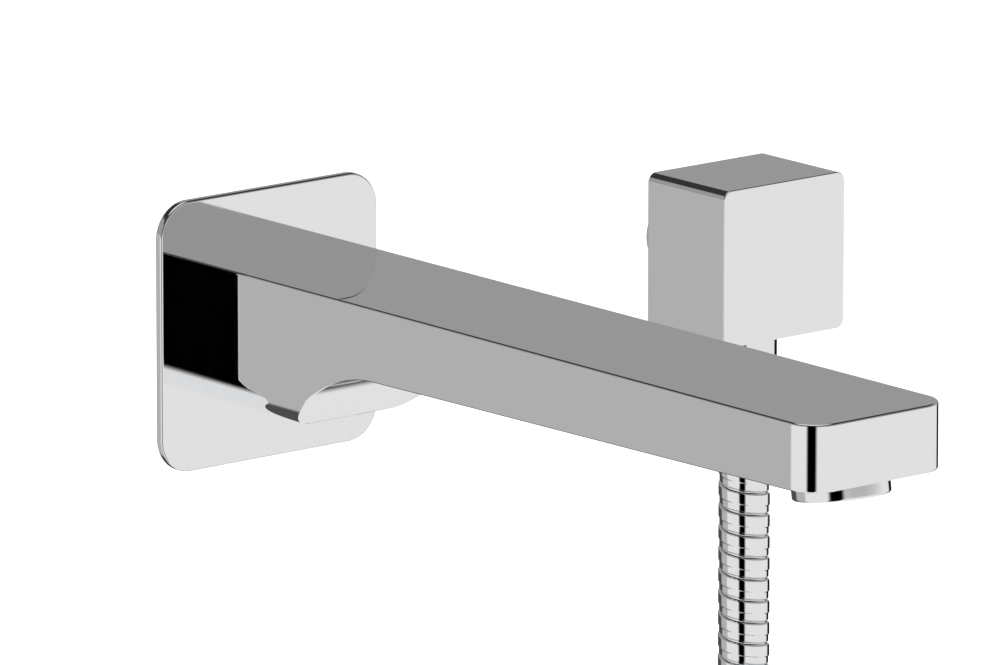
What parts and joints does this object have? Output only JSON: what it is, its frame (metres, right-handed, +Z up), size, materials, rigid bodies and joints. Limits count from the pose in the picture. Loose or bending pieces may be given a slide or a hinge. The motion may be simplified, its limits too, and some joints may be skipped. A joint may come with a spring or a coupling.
{
  "type": "wall mounted bath faucet",
  "caption": "Flat rectangular bath spout on a square wall plate, with a square wall outlet beside it that feeds a metal shower hose.",
  "frame": {"origin": "centre of the wall plate's back face, on the wall plane", "axes": "+Y into the wall, -Y out along the spout, +X along the wall towards the hose outlet, +Z up"},
  "size_m": [0.2899, 0.269, 0.4315],
  "materials": {
    "chrome": "polished chrome plate on brass",
    "brass": "turned brass",
    "steel": "stainless steel",
    "rubber": "black rubber",
    "foam": "dark closed-cell foam",
    "white_plastic": "moulded plastic",
    "valve_plastic": "blue moulded plastic",
    "strap": "woven strap",
    "hose_core": "rubber tube in a chromed steel spiral"
  },
  "bodies": {
    "wall_set": {"spout_body": "chrome", "wall_plate": "chrome", "plate_seal": "foam", "spout_nipple": "brass", "spout_o_ring_1": "rubber", "spout_o_ring_2": "rubber", "spout_screw": "steel", "aerator_housing": "chrome", "aerator_insert": "white_plastic", "aerator_sieve": "steel", "aerator_seal": "rubber", "outlet_block": "chrome", "outlet_seal": "foam", "outlet_nipple": "brass", "outlet_screw": "steel", "hose_adapter": "brass", "check_valve_body": "white_plastic", "check_valve_spring": "steel", "hose_washer": "rubber", "hose_ferrule": "chrome", "hose_run": "hose_core", "hose_coil": "hose_core", "hose_tail": "hose_core", "coil_tie_upper": "strap", "coil_tie_lower": "strap", "hose_end_ferrule": "chrome", "hose_end_washer": "rubber"},
    "block_nut": {"hose_nut": "chrome"},
    "hand_shower_nut": {"hose_end_nut": "chrome"},
    "check_poppet": {"check_valve_poppet": "valve_plastic"}
  },
  "joints": [
    {"name": "block_nut_turn", "type": "hinge", "parent": "wall_set", "child": "block_nut", "pos_m": [0.158, -0.0164, -0.03], "axis": [0, 0, 1], "continuous": true},
    {"name": "hand_shower_nut_turn", "type": "hinge", "parent": "wall_set", "child": "hand_shower_nut", "pos_m": [0.071, -0.052, -0.38], "axis": [0, 0, 1], "continuous": true},
    {"name": "check_poppet_open", "type": "slide", "parent": "wall_set", "child": "check_poppet", "axis": [0, 0, -1], "range_m": [0, 0.0022], "stiffness_N_per_m": 40, "springref_m": -0.003, "deforming": ["check_valve_spring"]}
  ]
}
